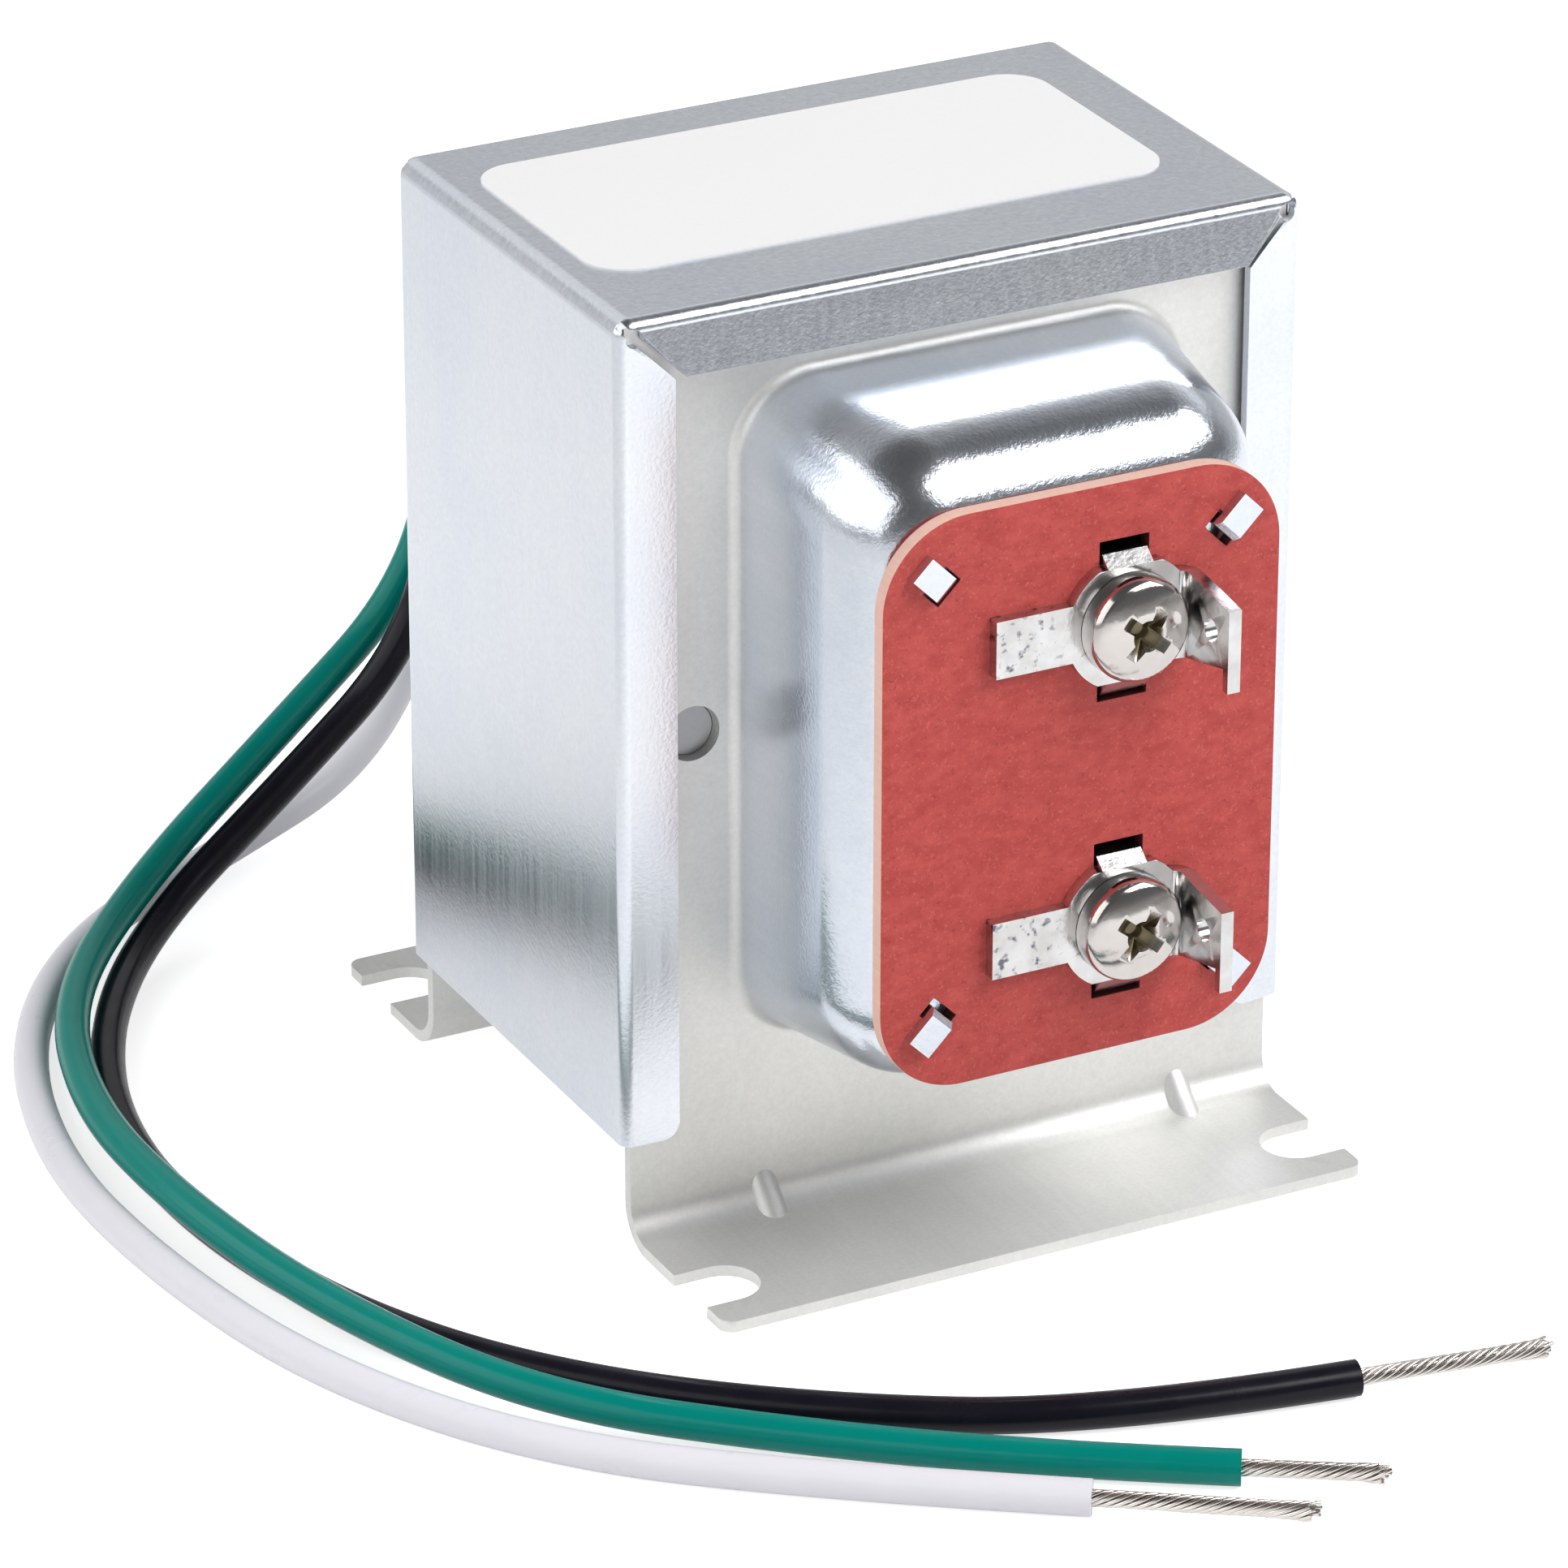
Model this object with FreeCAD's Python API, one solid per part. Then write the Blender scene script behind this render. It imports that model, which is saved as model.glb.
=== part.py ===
"""Doorbell transformer for surface mounting.

A steel hood folded over a laminated core clamps two drawn end bells against it. The front bell carries a
red fibre terminal board with two screw terminals, the rear bell lets out the three primary leads, and each
bell turns out at the bottom into a slotted mounting foot.

Millimetres, +Z up, the terminals face -Y. The origin is the middle of the four foot slots, on the plane that
the feet stand on. Each sub-part is written to parts/NODE.step.
"""
import FreeCAD, Part
import math
import os

V = FreeCAD.Vector
X_AXIS = V(1, 0, 0)
Y_AXIS = V(0, 1, 0)
Z_AXIS = V(0, 0, 1)

# Core: laminations with their legs across the part, a yoke on each side
leg_width = 9.525  # of an outer leg, a yoke and a window; the centre leg is twice as wide
stack_depth = 29.4
core_base = 7.2  # the core's underside above the feet
pin_radius = 1.75
fit_gap = 0.1  # clearance of pieces that slide into one another

# Coil on its split bobbin
bobbin_wall = 0.9
bobbin_flange = 1.0
bobbin_round = 0.7
bobbin_rim = 0.3  # how far a bobbin flange stands past the coil
winding_round = 7.0
wrap_sheet = 0.4

# Folded hood
hood_sheet = 0.7
hood_lift = 0.35  # the hood's lower edge above the core's underside
hood_bend = 1.2  # outer radius between top and sides
lip_bend = 0.8  # outer radius where a lip folds over
lip_width = 4.0
lip_corner = 1.2
seam_gap = 0.5  # open mitre between two lips
notch_radius = 0.6  # relief hole where three folds meet

# Drawn end bells
bell_sheet = 0.8
dome_side_room = 0.86  # between the coil and the dome's sides
dome_top_room = 3.75  # above the coil
dome_bottom_room = 2.7
dome_front_room = 5.57  # in front of the coil
dome_corner = 5.0  # at the flange
dome_nose_corner = 7.5  # where the sides would meet the face
dome_draft = 1.1  # how far a side leans in between the core and the face
dome_shoulder = 6.0
dome_root = 0.9
pin_window_radius = 1.9
foot_bend = 2.2  # inner radius of the foot's bend
foot_edge = 2.55  # web between a slot and the foot's outer edge
foot_corner = 1.0
slot_pitch = 48.2  # between the front and the rear foot slots
slot_width = 4.7
slot_length = 4.8  # from a foot's end to the bottom of its slot
gusset_spacing = 31.0
gusset_offset = 1.5  # the pair stands to the right of the middle
gusset_leg = 2.4
gusset_radius = 1.0

# Terminal board and the tabs that clinch it
board_side_inset = 1.71  # from the dome's side to the board's
board_top_inset = 4.1
board_bottom_inset = 2.4
board_sheet = 1.1
board_corner = 6.0
opening_side_inset = 6.15  # from the board's side to the bell's opening behind it
opening_end_inset = 3.95
opening_corner = 2.0
tab_side_inset = 3.35  # from the board's side to the middle of a tab
tab_top_inset = 3.8
tab_bottom_inset = 4.45
tab_width = 1.9
tab_length = 2.7
tab_slot_gap = 0.15
tab_slot_rest = 0.5  # length of the slot that a folded tab leaves open

# Screw terminals
terminal_x = 2.9
terminal_sheet = 0.9
terminal_radius = 4.5
solder_tab_reach = 9.5
solder_tab_height = 3.9
wing_reach = 4.8  # from the screw's axis to the wing's outer face
wing_top = 2.85  # edges above and below the screw's axis, at the board and at the wing's end
wing_end_top = 2.1
wing_bottom = 3.15
wing_end_bottom = 2.0
wing_length = 6.4  # from the board's face to the wing's end
wing_bend = 0.5
wing_hook = 1.5  # how far the end strip reaches below the wing
wing_hook_depth = 0.6
wing_hole_radius = 0.8
wing_hole_inset = 2.2
ear_width = 3.2
ear_reach = 5.0
ear_crease = 3.9  # from the screw's axis to the fold where an ear starts to lean back
ear_room = 0.35  # from an outer ear to the end of the bell's opening
ear_clinch = 2.0
ear_slot_gap = 0.15
ear_slot_rest = 0.45
screw_radius = 1.72
screw_tail = 3.35  # length of the shank behind the board
screw_head_radius = 3.5
screw_head_height = 2.4
screw_head_edge = 1.5  # height of the head's rim before it is rounded
screw_head_round = 0.8
screw_running_gap = 0.05
board_hole_gap = 0.35
cross_width = 0.9
cross_reach = 2.2
cross_depth = 1.3
cross_turn = 38
point_radius = 1.1  # of the recess's round middle, at the top
point_depth = 1.7
tail_radius = 0.5

# Lead outlet in the rear bell
bushing_x = -3.3
bushing_bore_radius = 3.5
bushing_neck_radius = 4.6
bushing_rim_radius = 5.2
bushing_flange_radius = 6.2
bushing_flange_height = 1.8
bushing_round = 0.8
bushing_inner_length = 1.6
bushing_barb = 0.4
bushing_gap = 0.05

# Label on the hood
label_width = 41.2
label_depth = 20.2
label_sheet = 0.12
label_corner = 3.0
label_x = -1.2
label_y = 1.3

# Leads: insulated diameter, bare conductor and the layout of the three in the bushing
lead_radius = 1.2
strand_radius = 0.58
lead_spread = 1.6  # from the bushing's axis to each lead's axis
arc_share = 0.45  # share of the shorter run that an arc takes up

# Values that follow from the sizes above
core_width = 5 * leg_width
core_height = 6 * leg_width
core_mid = core_base + core_height / 2
core_top = core_base + core_height
stack_half = stack_depth / 2
yoke_x = 2 * leg_width
window_half = 1.5 * leg_width

tube_y = stack_half + fit_gap + bobbin_wall
tube_z = leg_width + fit_gap + bobbin_wall
winding_build = 2 * leg_width - tube_z - wrap_sheet - 4 * fit_gap
coil_y = tube_y + 2 * fit_gap + winding_build + wrap_sheet
coil_z = tube_z + 2 * fit_gap + winding_build + wrap_sheet
wall_round = winding_round + fit_gap + wrap_sheet + bobbin_rim

bell_face = stack_half + bell_sheet
foot_tip = slot_pitch / 2 + slot_width / 2 + foot_edge
dome_width = 2 * (window_half - fit_gap + dome_side_room + bell_sheet)
dome_height = 2 * (2 * leg_width - fit_gap + bell_sheet) + dome_top_room + dome_bottom_room
dome_mid = core_mid + (dome_top_room - dome_bottom_room) / 2
dome_face = coil_y + bobbin_rim + dome_front_room + bell_sheet
board_width = dome_width - 2 * board_side_inset
board_height = dome_height - board_top_inset - board_bottom_inset
board_mid = dome_mid + (board_bottom_inset - board_top_inset) / 2
board_face = dome_face + board_sheet
opening_width = board_width - 2 * opening_side_inset
opening_height = board_height - 2 * opening_end_inset
tab_spacing_x = board_width - 2 * tab_side_inset
tab_spacing_z = board_height - tab_top_inset - tab_bottom_inset
tab_mid = board_mid + (tab_bottom_inset - tab_top_inset) / 2
terminal_pitch = opening_height - 2 * (ear_reach + ear_room)
screw_length = screw_running_gap + terminal_sheet + board_sheet + screw_tail
terminal_face = board_face + terminal_sheet
hood_half_x = core_width / 2 + hood_sheet
hood_half_y = bell_face + hood_sheet
hood_top = core_top + hood_sheet
hood_base = core_base + hood_lift
flange_width = core_width - 2 * fit_gap

# Lead routes after the bushing. Each starts straight out of the bushing, drops behind the part and runs
# round its left side over the floor to the front.
floor_z = lead_radius + 0.05
green_route = [
    V(-6.8, 47.8, 30.5), V(-9.6, 48.4, 18.6), V(-20.6, 46.2, 11.0), V(-34.4, 40.8, 4.2),
    V(-44.4, 28.8, 2.7), V(-49.4, 13.2, 2.9), V(-49.8, -2.0, 2.9), V(-46.2, -17.5, 2.3),
    V(-38.2, -32.4, 1.3), V(-26.2, -44.8, floor_z), V(-13.7, -54.3, floor_z), V(-3.9, -60.4, floor_z),
]
black_route = [
    V(-8.6, 44.0, 27.5), V(-11.4, 44.8, 15.6), V(-22.0, 43.0, 8.0), V(-34.6, 38.2, 1.9),
    V(-43.4, 26.0, floor_z), V(-47.6, 11.5, floor_z), V(-47.7, -2.5, floor_z), V(-43.8, -17.0, floor_z),
    V(-36.2, -30.4, floor_z), V(-24.3, -42.2, floor_z), V(-8.6, -51.2, floor_z), V(8.2, -54.0, floor_z),
]
white_route = [
    V(-4.6, 47.0, 26.5), V(-5.0, 54.0, 13.8), V(-10.6, 54.6, 2.4), V(-25.0, 47.8, floor_z),
    V(-39.8, 40.2, floor_z), V(-49.8, 27.0, floor_z), V(-54.3, 10.0, floor_z), V(-54.2, -6.5, floor_z),
    V(-50.0, -24.0, floor_z), V(-41.7, -39.4, floor_z), V(-28.5, -51.5, floor_z), V(-13.9, -59.4, floor_z),
]
# name: (angle in the bushing, depth where the straight exit ends, route, bare conductor's length)
leads = {
    "green": (90, 36.5, green_route, 9.8),
    "black": (210, 35.0, black_route, 13.8),
    "white": (330, 36.5, white_route, 14.6),
}


def block(x0, x1, y0, y1, z0, z1):
    """Box between two corners."""
    return Part.makeBox(x1 - x0, y1 - y0, z1 - z0, V(x0, y0, z0))


def edges_along(shape, axis, test=None):
    """Straight edges parallel to an axis whose middle passes a test."""
    found = []
    for edge in shape.Edges:
        if len(edge.Vertexes) < 2:
            continue
        run = edge.Vertexes[1].Point - edge.Vertexes[0].Point
        straight = abs(abs(run.dot(axis)) - run.Length) < 1e-6 and run.Length > 1e-6
        if straight and (test is None or test(edge.CenterOfMass)):
            found.append(edge)
    return found


def rounded_block(x0, x1, y0, y1, z0, z1, axis, radius):
    """Box with the four edges along one axis rounded."""
    solid = block(x0, x1, y0, y1, z0, z1)
    return solid.makeFillet(radius, edges_along(solid, axis))


def rod(radius, start, direction, length):
    return Part.makeCylinder(radius, length, start, direction)


def extruded(points, along):
    """Straight-sided prism of a closed outline."""
    return Part.Face(Part.makePolygon(points + points[:1])).extrude(along)


def core_e_stack():
    """E laminations: the yoke on the left, three legs reaching to the right."""
    z0 = core_mid - 2 * leg_width
    stack = block(-core_width / 2, window_half, -stack_half, stack_half, core_base, core_top)
    for z in (z0, core_mid + leg_width):
        window = block(-window_half, window_half, -stack_half, stack_half, z, z + leg_width)
        stack = stack.cut(window)
    return stack.cut(pin_hole(-yoke_x))


def core_i_stack():
    """I laminations that close the core on the right."""
    stack = block(window_half, core_width / 2, -stack_half, stack_half, core_base, core_top)
    return stack.cut(pin_hole(yoke_x))


def pin_hole(x):
    return rod(pin_radius + fit_gap / 2, V(x, -stack_half, core_mid), Y_AXIS, stack_depth)


def core_pins():
    """Pins through the two yokes, flush with the stack."""
    pins = [rod(pin_radius, V(x, -stack_half, core_mid), Y_AXIS, stack_depth) for x in (-yoke_x, yoke_x)]
    return Part.makeCompound(pins)


def sleeve(x0, x1, inner_y, inner_z, inner_round, wall, outer_round):
    """Rectangular sleeve round the centre leg, along X."""
    outer_y = inner_y + wall
    outer_z = inner_z + wall
    low, high = core_mid - outer_z, core_mid + outer_z
    outer = rounded_block(x0, x1, -outer_y, outer_y, low, high, X_AXIS, outer_round)
    low, high = core_mid - inner_z, core_mid + inner_z
    inner = rounded_block(x0, x1, -inner_y, inner_y, low, high, X_AXIS, inner_round)
    return outer.cut(inner)


def bobbin():
    """Tube on the centre leg with an end flange each side and a divider between the two windings."""
    half = window_half - fit_gap
    wall_y = coil_y + bobbin_rim
    wall_z = 2 * leg_width - fit_gap
    low, high = core_mid - tube_z, core_mid + tube_z
    body = rounded_block(-half, half, -tube_y, tube_y, low, high, X_AXIS, bobbin_round)
    for x in (-half, -bobbin_flange / 2, half - bobbin_flange):
        low, high = core_mid - wall_z, core_mid + wall_z
        wall = rounded_block(x, x + bobbin_flange, -wall_y, wall_y, low, high, X_AXIS, wall_round)
        body = body.fuse(wall)
    bore_y = stack_half + fit_gap
    bore_z = leg_width + fit_gap
    bore = block(-half, half, -bore_y, bore_y, core_mid - bore_z, core_mid + bore_z)
    return body.cut(bore).removeSplitter()


def coil_span(side):
    """Left and right end of the winding on that side of the divider."""
    near = bobbin_flange / 2 + fit_gap
    far = window_half - 2 * fit_gap - bobbin_flange
    return (near, far) if side > 0 else (-far, -near)


def winding(side):
    x0, x1 = coil_span(side)
    inner_round = bobbin_round + fit_gap
    return sleeve(x0, x1, tube_y + fit_gap, tube_z + fit_gap, inner_round, winding_build, winding_round)


def winding_wrap(side):
    """Tape round one winding."""
    x0, x1 = coil_span(side)
    inner_y = tube_y + 2 * fit_gap + winding_build
    inner_z = tube_z + 2 * fit_gap + winding_build
    inner_round = winding_round + fit_gap
    return sleeve(x0, x1, inner_y, inner_z, inner_round, wrap_sheet, inner_round + wrap_sheet)


def hood():
    """One folded sheet: top, two sides and narrow lips that hook over the bells' flanges."""
    x, y = hood_half_x, hood_half_y
    shell = block(-x, x, -y, y, hood_base, hood_top)
    on_top = lambda p: abs(p.z - hood_top) < 1e-6
    shell = shell.makeFillet(hood_bend, edges_along(shell, Y_AXIS, on_top))
    shell = shell.makeFillet(lip_bend, [e for e in shell.Edges if on_lip_fold(e)])
    shell = shell.cut(block(-x + hood_sheet, x - hood_sheet, -bell_face, bell_face, hood_base, core_top))
    window_x = x - lip_width
    shell = shell.cut(block(-window_x, window_x, -y, y, hood_base, hood_top - lip_width))
    foot_of_lip = lambda p: abs(p.z - hood_base) < 1e-6 and abs(abs(p.x) - window_x) < 1e-6
    shell = shell.makeFillet(lip_corner, edges_along(shell, Y_AXIS, foot_of_lip))
    for side in (-1, 1):
        for face in (-1, 1):
            shell = shell.cut(lip_seam(side, face))
    return shell


def on_lip_fold(edge):
    """True for the edges round the front and rear end of the blank hood, the lower ones left out."""
    box = edge.BoundBox
    at_end = min(abs(box.YMin), abs(box.YMax)) > hood_half_y - 1e-3
    return at_end and box.YLength < 1e-3 and box.ZMax > hood_base + 1e-3


def lip_seam(side, face):
    """Open mitre from a top corner to the inner corner of the lips, with a round relief at its start."""
    reach = lip_width * math.sqrt(2) + seam_gap
    deep = hood_half_y - bell_face
    slit = block(0, reach, -deep, deep, -seam_gap / 2, seam_gap / 2)
    slit.rotate(V(0, 0, 0), Y_AXIS, 45 if side < 0 else 135)
    slit.translate(V(side * hood_half_x, face * hood_half_y, hood_top))
    inset = 2 * notch_radius
    start = V(side * (hood_half_x - inset), face * hood_half_y, hood_top - inset)
    return slit.fuse(rod(notch_radius, start - Y_AXIS * deep, Y_AXIS, 2 * deep))


def rounded_outline(width, height, radius, y, mid):
    """Rounded rectangle about a middle height, in the plane of that depth."""
    half_x = width / 2 - radius
    half_z = height / 2 - radius
    arcs = []
    for turn, (side_x, side_z) in enumerate(((1, 1), (-1, 1), (-1, -1), (1, -1))):
        centre = V(side_x * half_x, y, mid + side_z * half_z)
        angles = [math.radians(90 * turn + part) for part in (0, 45, 90)]
        points = [centre + V(math.cos(a), 0, math.sin(a)) * radius for a in angles]
        arcs.append(points)
    edges = []
    for here, following in zip(arcs, arcs[1:] + arcs[:1]):
        edges.append(Part.Arc(*here).toShape())
        edges.append(Part.LineSegment(here[2], following[0]).toShape())
    return Part.Wire(edges)


def rounded_plate(width, height, radius, y0, y1, mid):
    return Part.Face(rounded_outline(width, height, radius, y0, mid)).extrude(V(0, y1 - y0, 0))


def dome(inset, start):
    """Drafted dome with a rounded shoulder, all of it inset from the outer skin."""
    face = dome_face - inset
    width = dome_width - 2 * inset
    height = dome_height - 2 * inset
    slope = 2 * dome_draft
    base = rounded_outline(width, height, dome_corner - inset, start, dome_mid)
    front = rounded_outline(width - slope, height - slope, dome_nose_corner - inset, face, dome_mid)
    solid = Part.makeLoft([base, front], True, True)
    rim = [e for e in solid.Edges if all(abs(v.Point.y - face) < 1e-6 for v in e.Vertexes)]
    return solid.makeFillet(dome_shoulder - inset, rim)


def bell():
    """Rear-facing bell without its own openings: flange, dome and foot from one sheet."""
    knee = bell_face + foot_bend
    bend_top = bell_sheet + foot_bend
    side = V(-flange_width / 2, 0, 0)
    middle = math.radians(225)
    inner_mid = V(0, knee + foot_bend * math.cos(middle), bend_top + foot_bend * math.sin(middle))
    outer_bend = foot_bend + bell_sheet
    outer_mid = V(0, knee + outer_bend * math.cos(middle), bend_top + outer_bend * math.sin(middle))
    corners = [
        V(0, stack_half, core_top), V(0, bell_face, core_top), V(0, bell_face, bend_top),
        V(0, knee, bell_sheet), V(0, foot_tip, bell_sheet), V(0, foot_tip, 0),
        V(0, knee, 0), V(0, stack_half, bend_top),
    ]
    edges = [Part.LineSegment(corners[0], corners[1]), Part.LineSegment(corners[1], corners[2])]
    edges.append(Part.Arc(corners[2], inner_mid, corners[3]))
    edges += [Part.LineSegment(corners[i], corners[i + 1]) for i in (3, 4, 5)]
    edges.append(Part.Arc(corners[6], outer_mid, corners[7]))
    edges.append(Part.LineSegment(corners[7], corners[0]))
    section = Part.Wire([e.toShape() for e in edges])
    section.translate(side)
    sheet = Part.Face(section).extrude(V(flange_width, 0, 0))
    tip = lambda p: p.y > foot_tip - 1e-6
    sheet = sheet.makeFillet(foot_corner, edges_along(sheet, Z_AXIS, tip))
    sheet = sheet.fuse(dome(0, stack_half)).removeSplitter()
    root = [e for e in sheet.Edges if on_dome_root(e)]
    sheet = sheet.makeFillet(dome_root, root)
    sheet = sheet.cut(dome(bell_sheet, stack_half))
    for end in (-1, 1):
        sheet = sheet.cut(foot_slot(end))
        sheet = gusset(sheet, gusset_offset + end * gusset_spacing / 2)
        window = rod(pin_window_radius, V(end * yoke_x, stack_half, core_mid), Y_AXIS, bell_sheet)
        sheet = sheet.cut(window)
    return sheet


def on_dome_root(edge):
    """True for the edges where the dome rises from the flange's outer face."""
    box = edge.BoundBox
    flat = abs(box.YMin - bell_face) < 1e-6 and abs(box.YMax - bell_face) < 1e-6
    inside_x = max(abs(box.XMin), abs(box.XMax)) < dome_width / 2 + 1e-3
    inside_z = max(abs(box.ZMin - dome_mid), abs(box.ZMax - dome_mid)) < dome_height / 2 + 1e-3
    return flat and inside_x and inside_z


def foot_slot(end):
    """U-slot open at one end of a foot."""
    radius = slot_width / 2
    y = slot_pitch / 2
    bottom = end * (flange_width / 2 - slot_length + radius)
    outside = end * flange_width / 2
    x0, x1 = sorted((bottom, outside))
    slot = block(x0, x1, y - radius, y + radius, 0, bell_sheet)
    return slot.fuse(rod(radius, V(bottom, y, 0), Z_AXIS, bell_sheet))


def gusset(sheet, x):
    """Round dart pressed into the bend between flange and foot, hollow behind."""
    def dart(y, z):
        run = V(0, 1, -1).normalize()
        to_axis = gusset_leg / 2 - gusset_radius * math.sqrt(0.5)
        start = V(x, y + to_axis, z + to_axis) - run * 2 * gusset_leg
        bead = rod(gusset_radius, start, run, 4 * gusset_leg)
        corner = block(x - gusset_radius, x + gusset_radius, y, y + 2 * gusset_leg, z, z + 2 * gusset_leg)
        return bead.common(corner)
    return sheet.fuse(dart(bell_face, bell_sheet)).removeSplitter().cut(dart(stack_half, 0))


def front_bell():
    """Bell with an opening behind the terminals and four tabs folded over the board."""
    shell = bell()
    reach = V(0, 2 * bell_sheet, 0)
    back = dome_face - bell_sheet
    opening = Part.Face(rounded_outline(opening_width, opening_height, opening_corner, back, board_mid))
    shell = shell.cut(opening.extrude(reach))
    for side_x in (-1, 1):
        for side_z in (-1, 1):
            shell = shell.fuse(board_tab(side_x, side_z))
    return shell.removeSplitter().mirror(V(0, 0, 0), Y_AXIS)


def tab_frame(side_x, side_z):
    """Inner end of a folded tab, its outward direction and its width direction."""
    outward = V(side_x, 0, side_z)
    outward.normalize()
    across = outward.cross(Y_AXIS)
    middle = V(side_x * tab_spacing_x / 2, 0, tab_mid + side_z * tab_spacing_z / 2)
    return middle - outward * (tab_length / 2), outward, across


def board_tab(side_x, side_z):
    """Tab of the bell that passes through the board and folds outward along the diagonal."""
    start, outward, across = tab_frame(side_x, side_z)
    folded = board_face + bell_sheet
    steps = [
        (0, dome_face - bell_sheet), (0, folded - bell_sheet / 2), (bell_sheet / 2, folded),
        (tab_length, folded), (tab_length, board_face), (bell_sheet, board_face),
        (bell_sheet, dome_face - bell_sheet),
    ]
    edge = start - across * (tab_width / 2)
    points = [edge + outward * u + Y_AXIS * y for u, y in steps]
    return extruded(points, across * tab_width)


def rear_bell():
    """Bell with a closed face and a hole for the lead bushing."""
    radius = bushing_neck_radius + fit_gap
    hole = rod(radius, V(bushing_x, dome_face - 2 * bell_sheet, core_mid), Y_AXIS, 3 * bell_sheet)
    return bell().cut(hole)


def terminal_board():
    """Vulcanised fibre plate with slots for the bell's tabs and the terminals' ears."""
    board = rounded_plate(board_width, board_height, board_corner, dome_face, board_face, board_mid)
    through = Y_AXIS * board_sheet
    for side_x in (-1, 1):
        for side_z in (-1, 1):
            start, outward, across = tab_frame(side_x, side_z)
            half = tab_width / 2 + tab_slot_gap
            low = start - outward * tab_slot_rest
            high = start + outward * (bell_sheet + tab_slot_gap)
            corners = [low - across * half, high - across * half, high + across * half, low + across * half]
            board = board.cut(extruded([c + Y_AXIS * dome_face for c in corners], through))
    for side in (-1, 1):
        z = terminal_z(side)
        hole = rod(screw_radius + board_hole_gap, V(terminal_x, dome_face, z), Y_AXIS, board_sheet)
        board = board.cut(hole)
        for ear in (-1, 1):
            inner = z + ear * (ear_reach - terminal_sheet - ear_slot_gap)
            outer = z + ear * (ear_reach + ear_slot_rest)
            z0, z1 = sorted((inner, outer))
            half = ear_width / 2 + ear_slot_gap
            slot = block(terminal_x - half, terminal_x + half, dome_face, board_face, z0, z1)
            board = board.cut(slot)
    return board.mirror(V(0, 0, 0), Y_AXIS)


def terminal_z(side):
    return board_mid + side * terminal_pitch / 2


def terminal(side):
    """Stamped terminal: round seat, solder tab to the left, upright wing to the right and two ears."""
    z = terminal_z(side)
    seat = rod(terminal_radius, V(terminal_x, board_face, z), Y_AXIS, terminal_sheet)
    x0, x1 = terminal_x - terminal_radius, terminal_x + terminal_radius
    seat = seat.common(block(x0, x1, board_face, terminal_face, z - ear_crease, z + ear_crease))
    half = solder_tab_height / 2
    left = terminal_x - solder_tab_reach
    seat = seat.fuse(block(left, terminal_x, board_face, terminal_face, z - half, z + half))
    seat = seat.fuse(terminal_wing(z))
    for ear in (-1, 1):
        seat = seat.fuse(terminal_ear(z, ear))
    hole = rod(screw_radius + screw_running_gap, V(terminal_x, board_face, z), Y_AXIS, terminal_sheet)
    return seat.removeSplitter().cut(hole).mirror(V(0, 0, 0), Y_AXIS)


def terminal_wing(z):
    """Wing bent square to the board, with a wire hole and a hooked end."""
    outer = terminal_x + wing_reach
    inner = outer - terminal_sheet
    end = board_face + wing_length
    bend_out = wing_bend + terminal_sheet
    knee = V(outer - bend_out, board_face + bend_out, 0)
    diagonal = math.sqrt(0.5)
    lean = V(diagonal, -diagonal, 0)
    corners = [
        V(terminal_x, terminal_face, 0), V(terminal_x, board_face, 0), V(outer - bend_out, board_face, 0),
        V(outer, board_face + bend_out, 0), V(outer, end, 0), V(inner, end, 0),
        V(inner, terminal_face + wing_bend, 0), V(inner - wing_bend, terminal_face, 0),
    ]
    edges = [Part.LineSegment(corners[i], corners[i + 1]) for i in (0, 1)]
    edges.append(Part.Arc(corners[2], knee + lean * bend_out, corners[3]))
    edges += [Part.LineSegment(corners[i], corners[i + 1]) for i in (3, 4, 5)]
    edges.append(Part.Arc(corners[6], knee + lean * wing_bend, corners[7]))
    edges.append(Part.LineSegment(corners[7], corners[0]))
    section = Part.Wire([e.toShape() for e in edges])
    lowest = z - wing_end_bottom - wing_hook
    section.translate(V(0, 0, lowest))
    sheet = Part.Face(section).extrude(V(0, 0, z + wing_top - lowest))
    hook = end - wing_hook_depth
    outline = [
        (board_face, z + wing_top), (terminal_face, z + wing_top), (end, z + wing_end_top), (end, lowest),
        (hook, lowest), (hook, z - wing_end_bottom), (terminal_face, z - wing_bottom),
        (board_face, z - wing_bottom),
    ]
    wing = sheet.common(extruded([V(terminal_x, y, height) for y, height in outline], V(wing_reach, 0, 0)))
    return wing.cut(rod(wing_hole_radius, V(inner, end - wing_hole_inset, z), X_AXIS, terminal_sheet))


def terminal_ear(z, ear):
    """Ear that leans back into its slot and is clinched behind the board."""
    x0 = terminal_x - ear_width / 2
    back = dome_face - terminal_sheet
    tip = ear_reach
    steps = [
        (0, board_face), (tip - terminal_sheet, board_face), (tip - terminal_sheet, dome_face),
        (tip - ear_clinch, dome_face), (tip - ear_clinch, back), (tip, back), (tip, board_face),
        (ear_crease, terminal_face), (0, terminal_face),
    ]
    points = [V(x0, y, z + ear * reach) for reach, y in steps]
    return extruded(points, V(ear_width, 0, 0))


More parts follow.
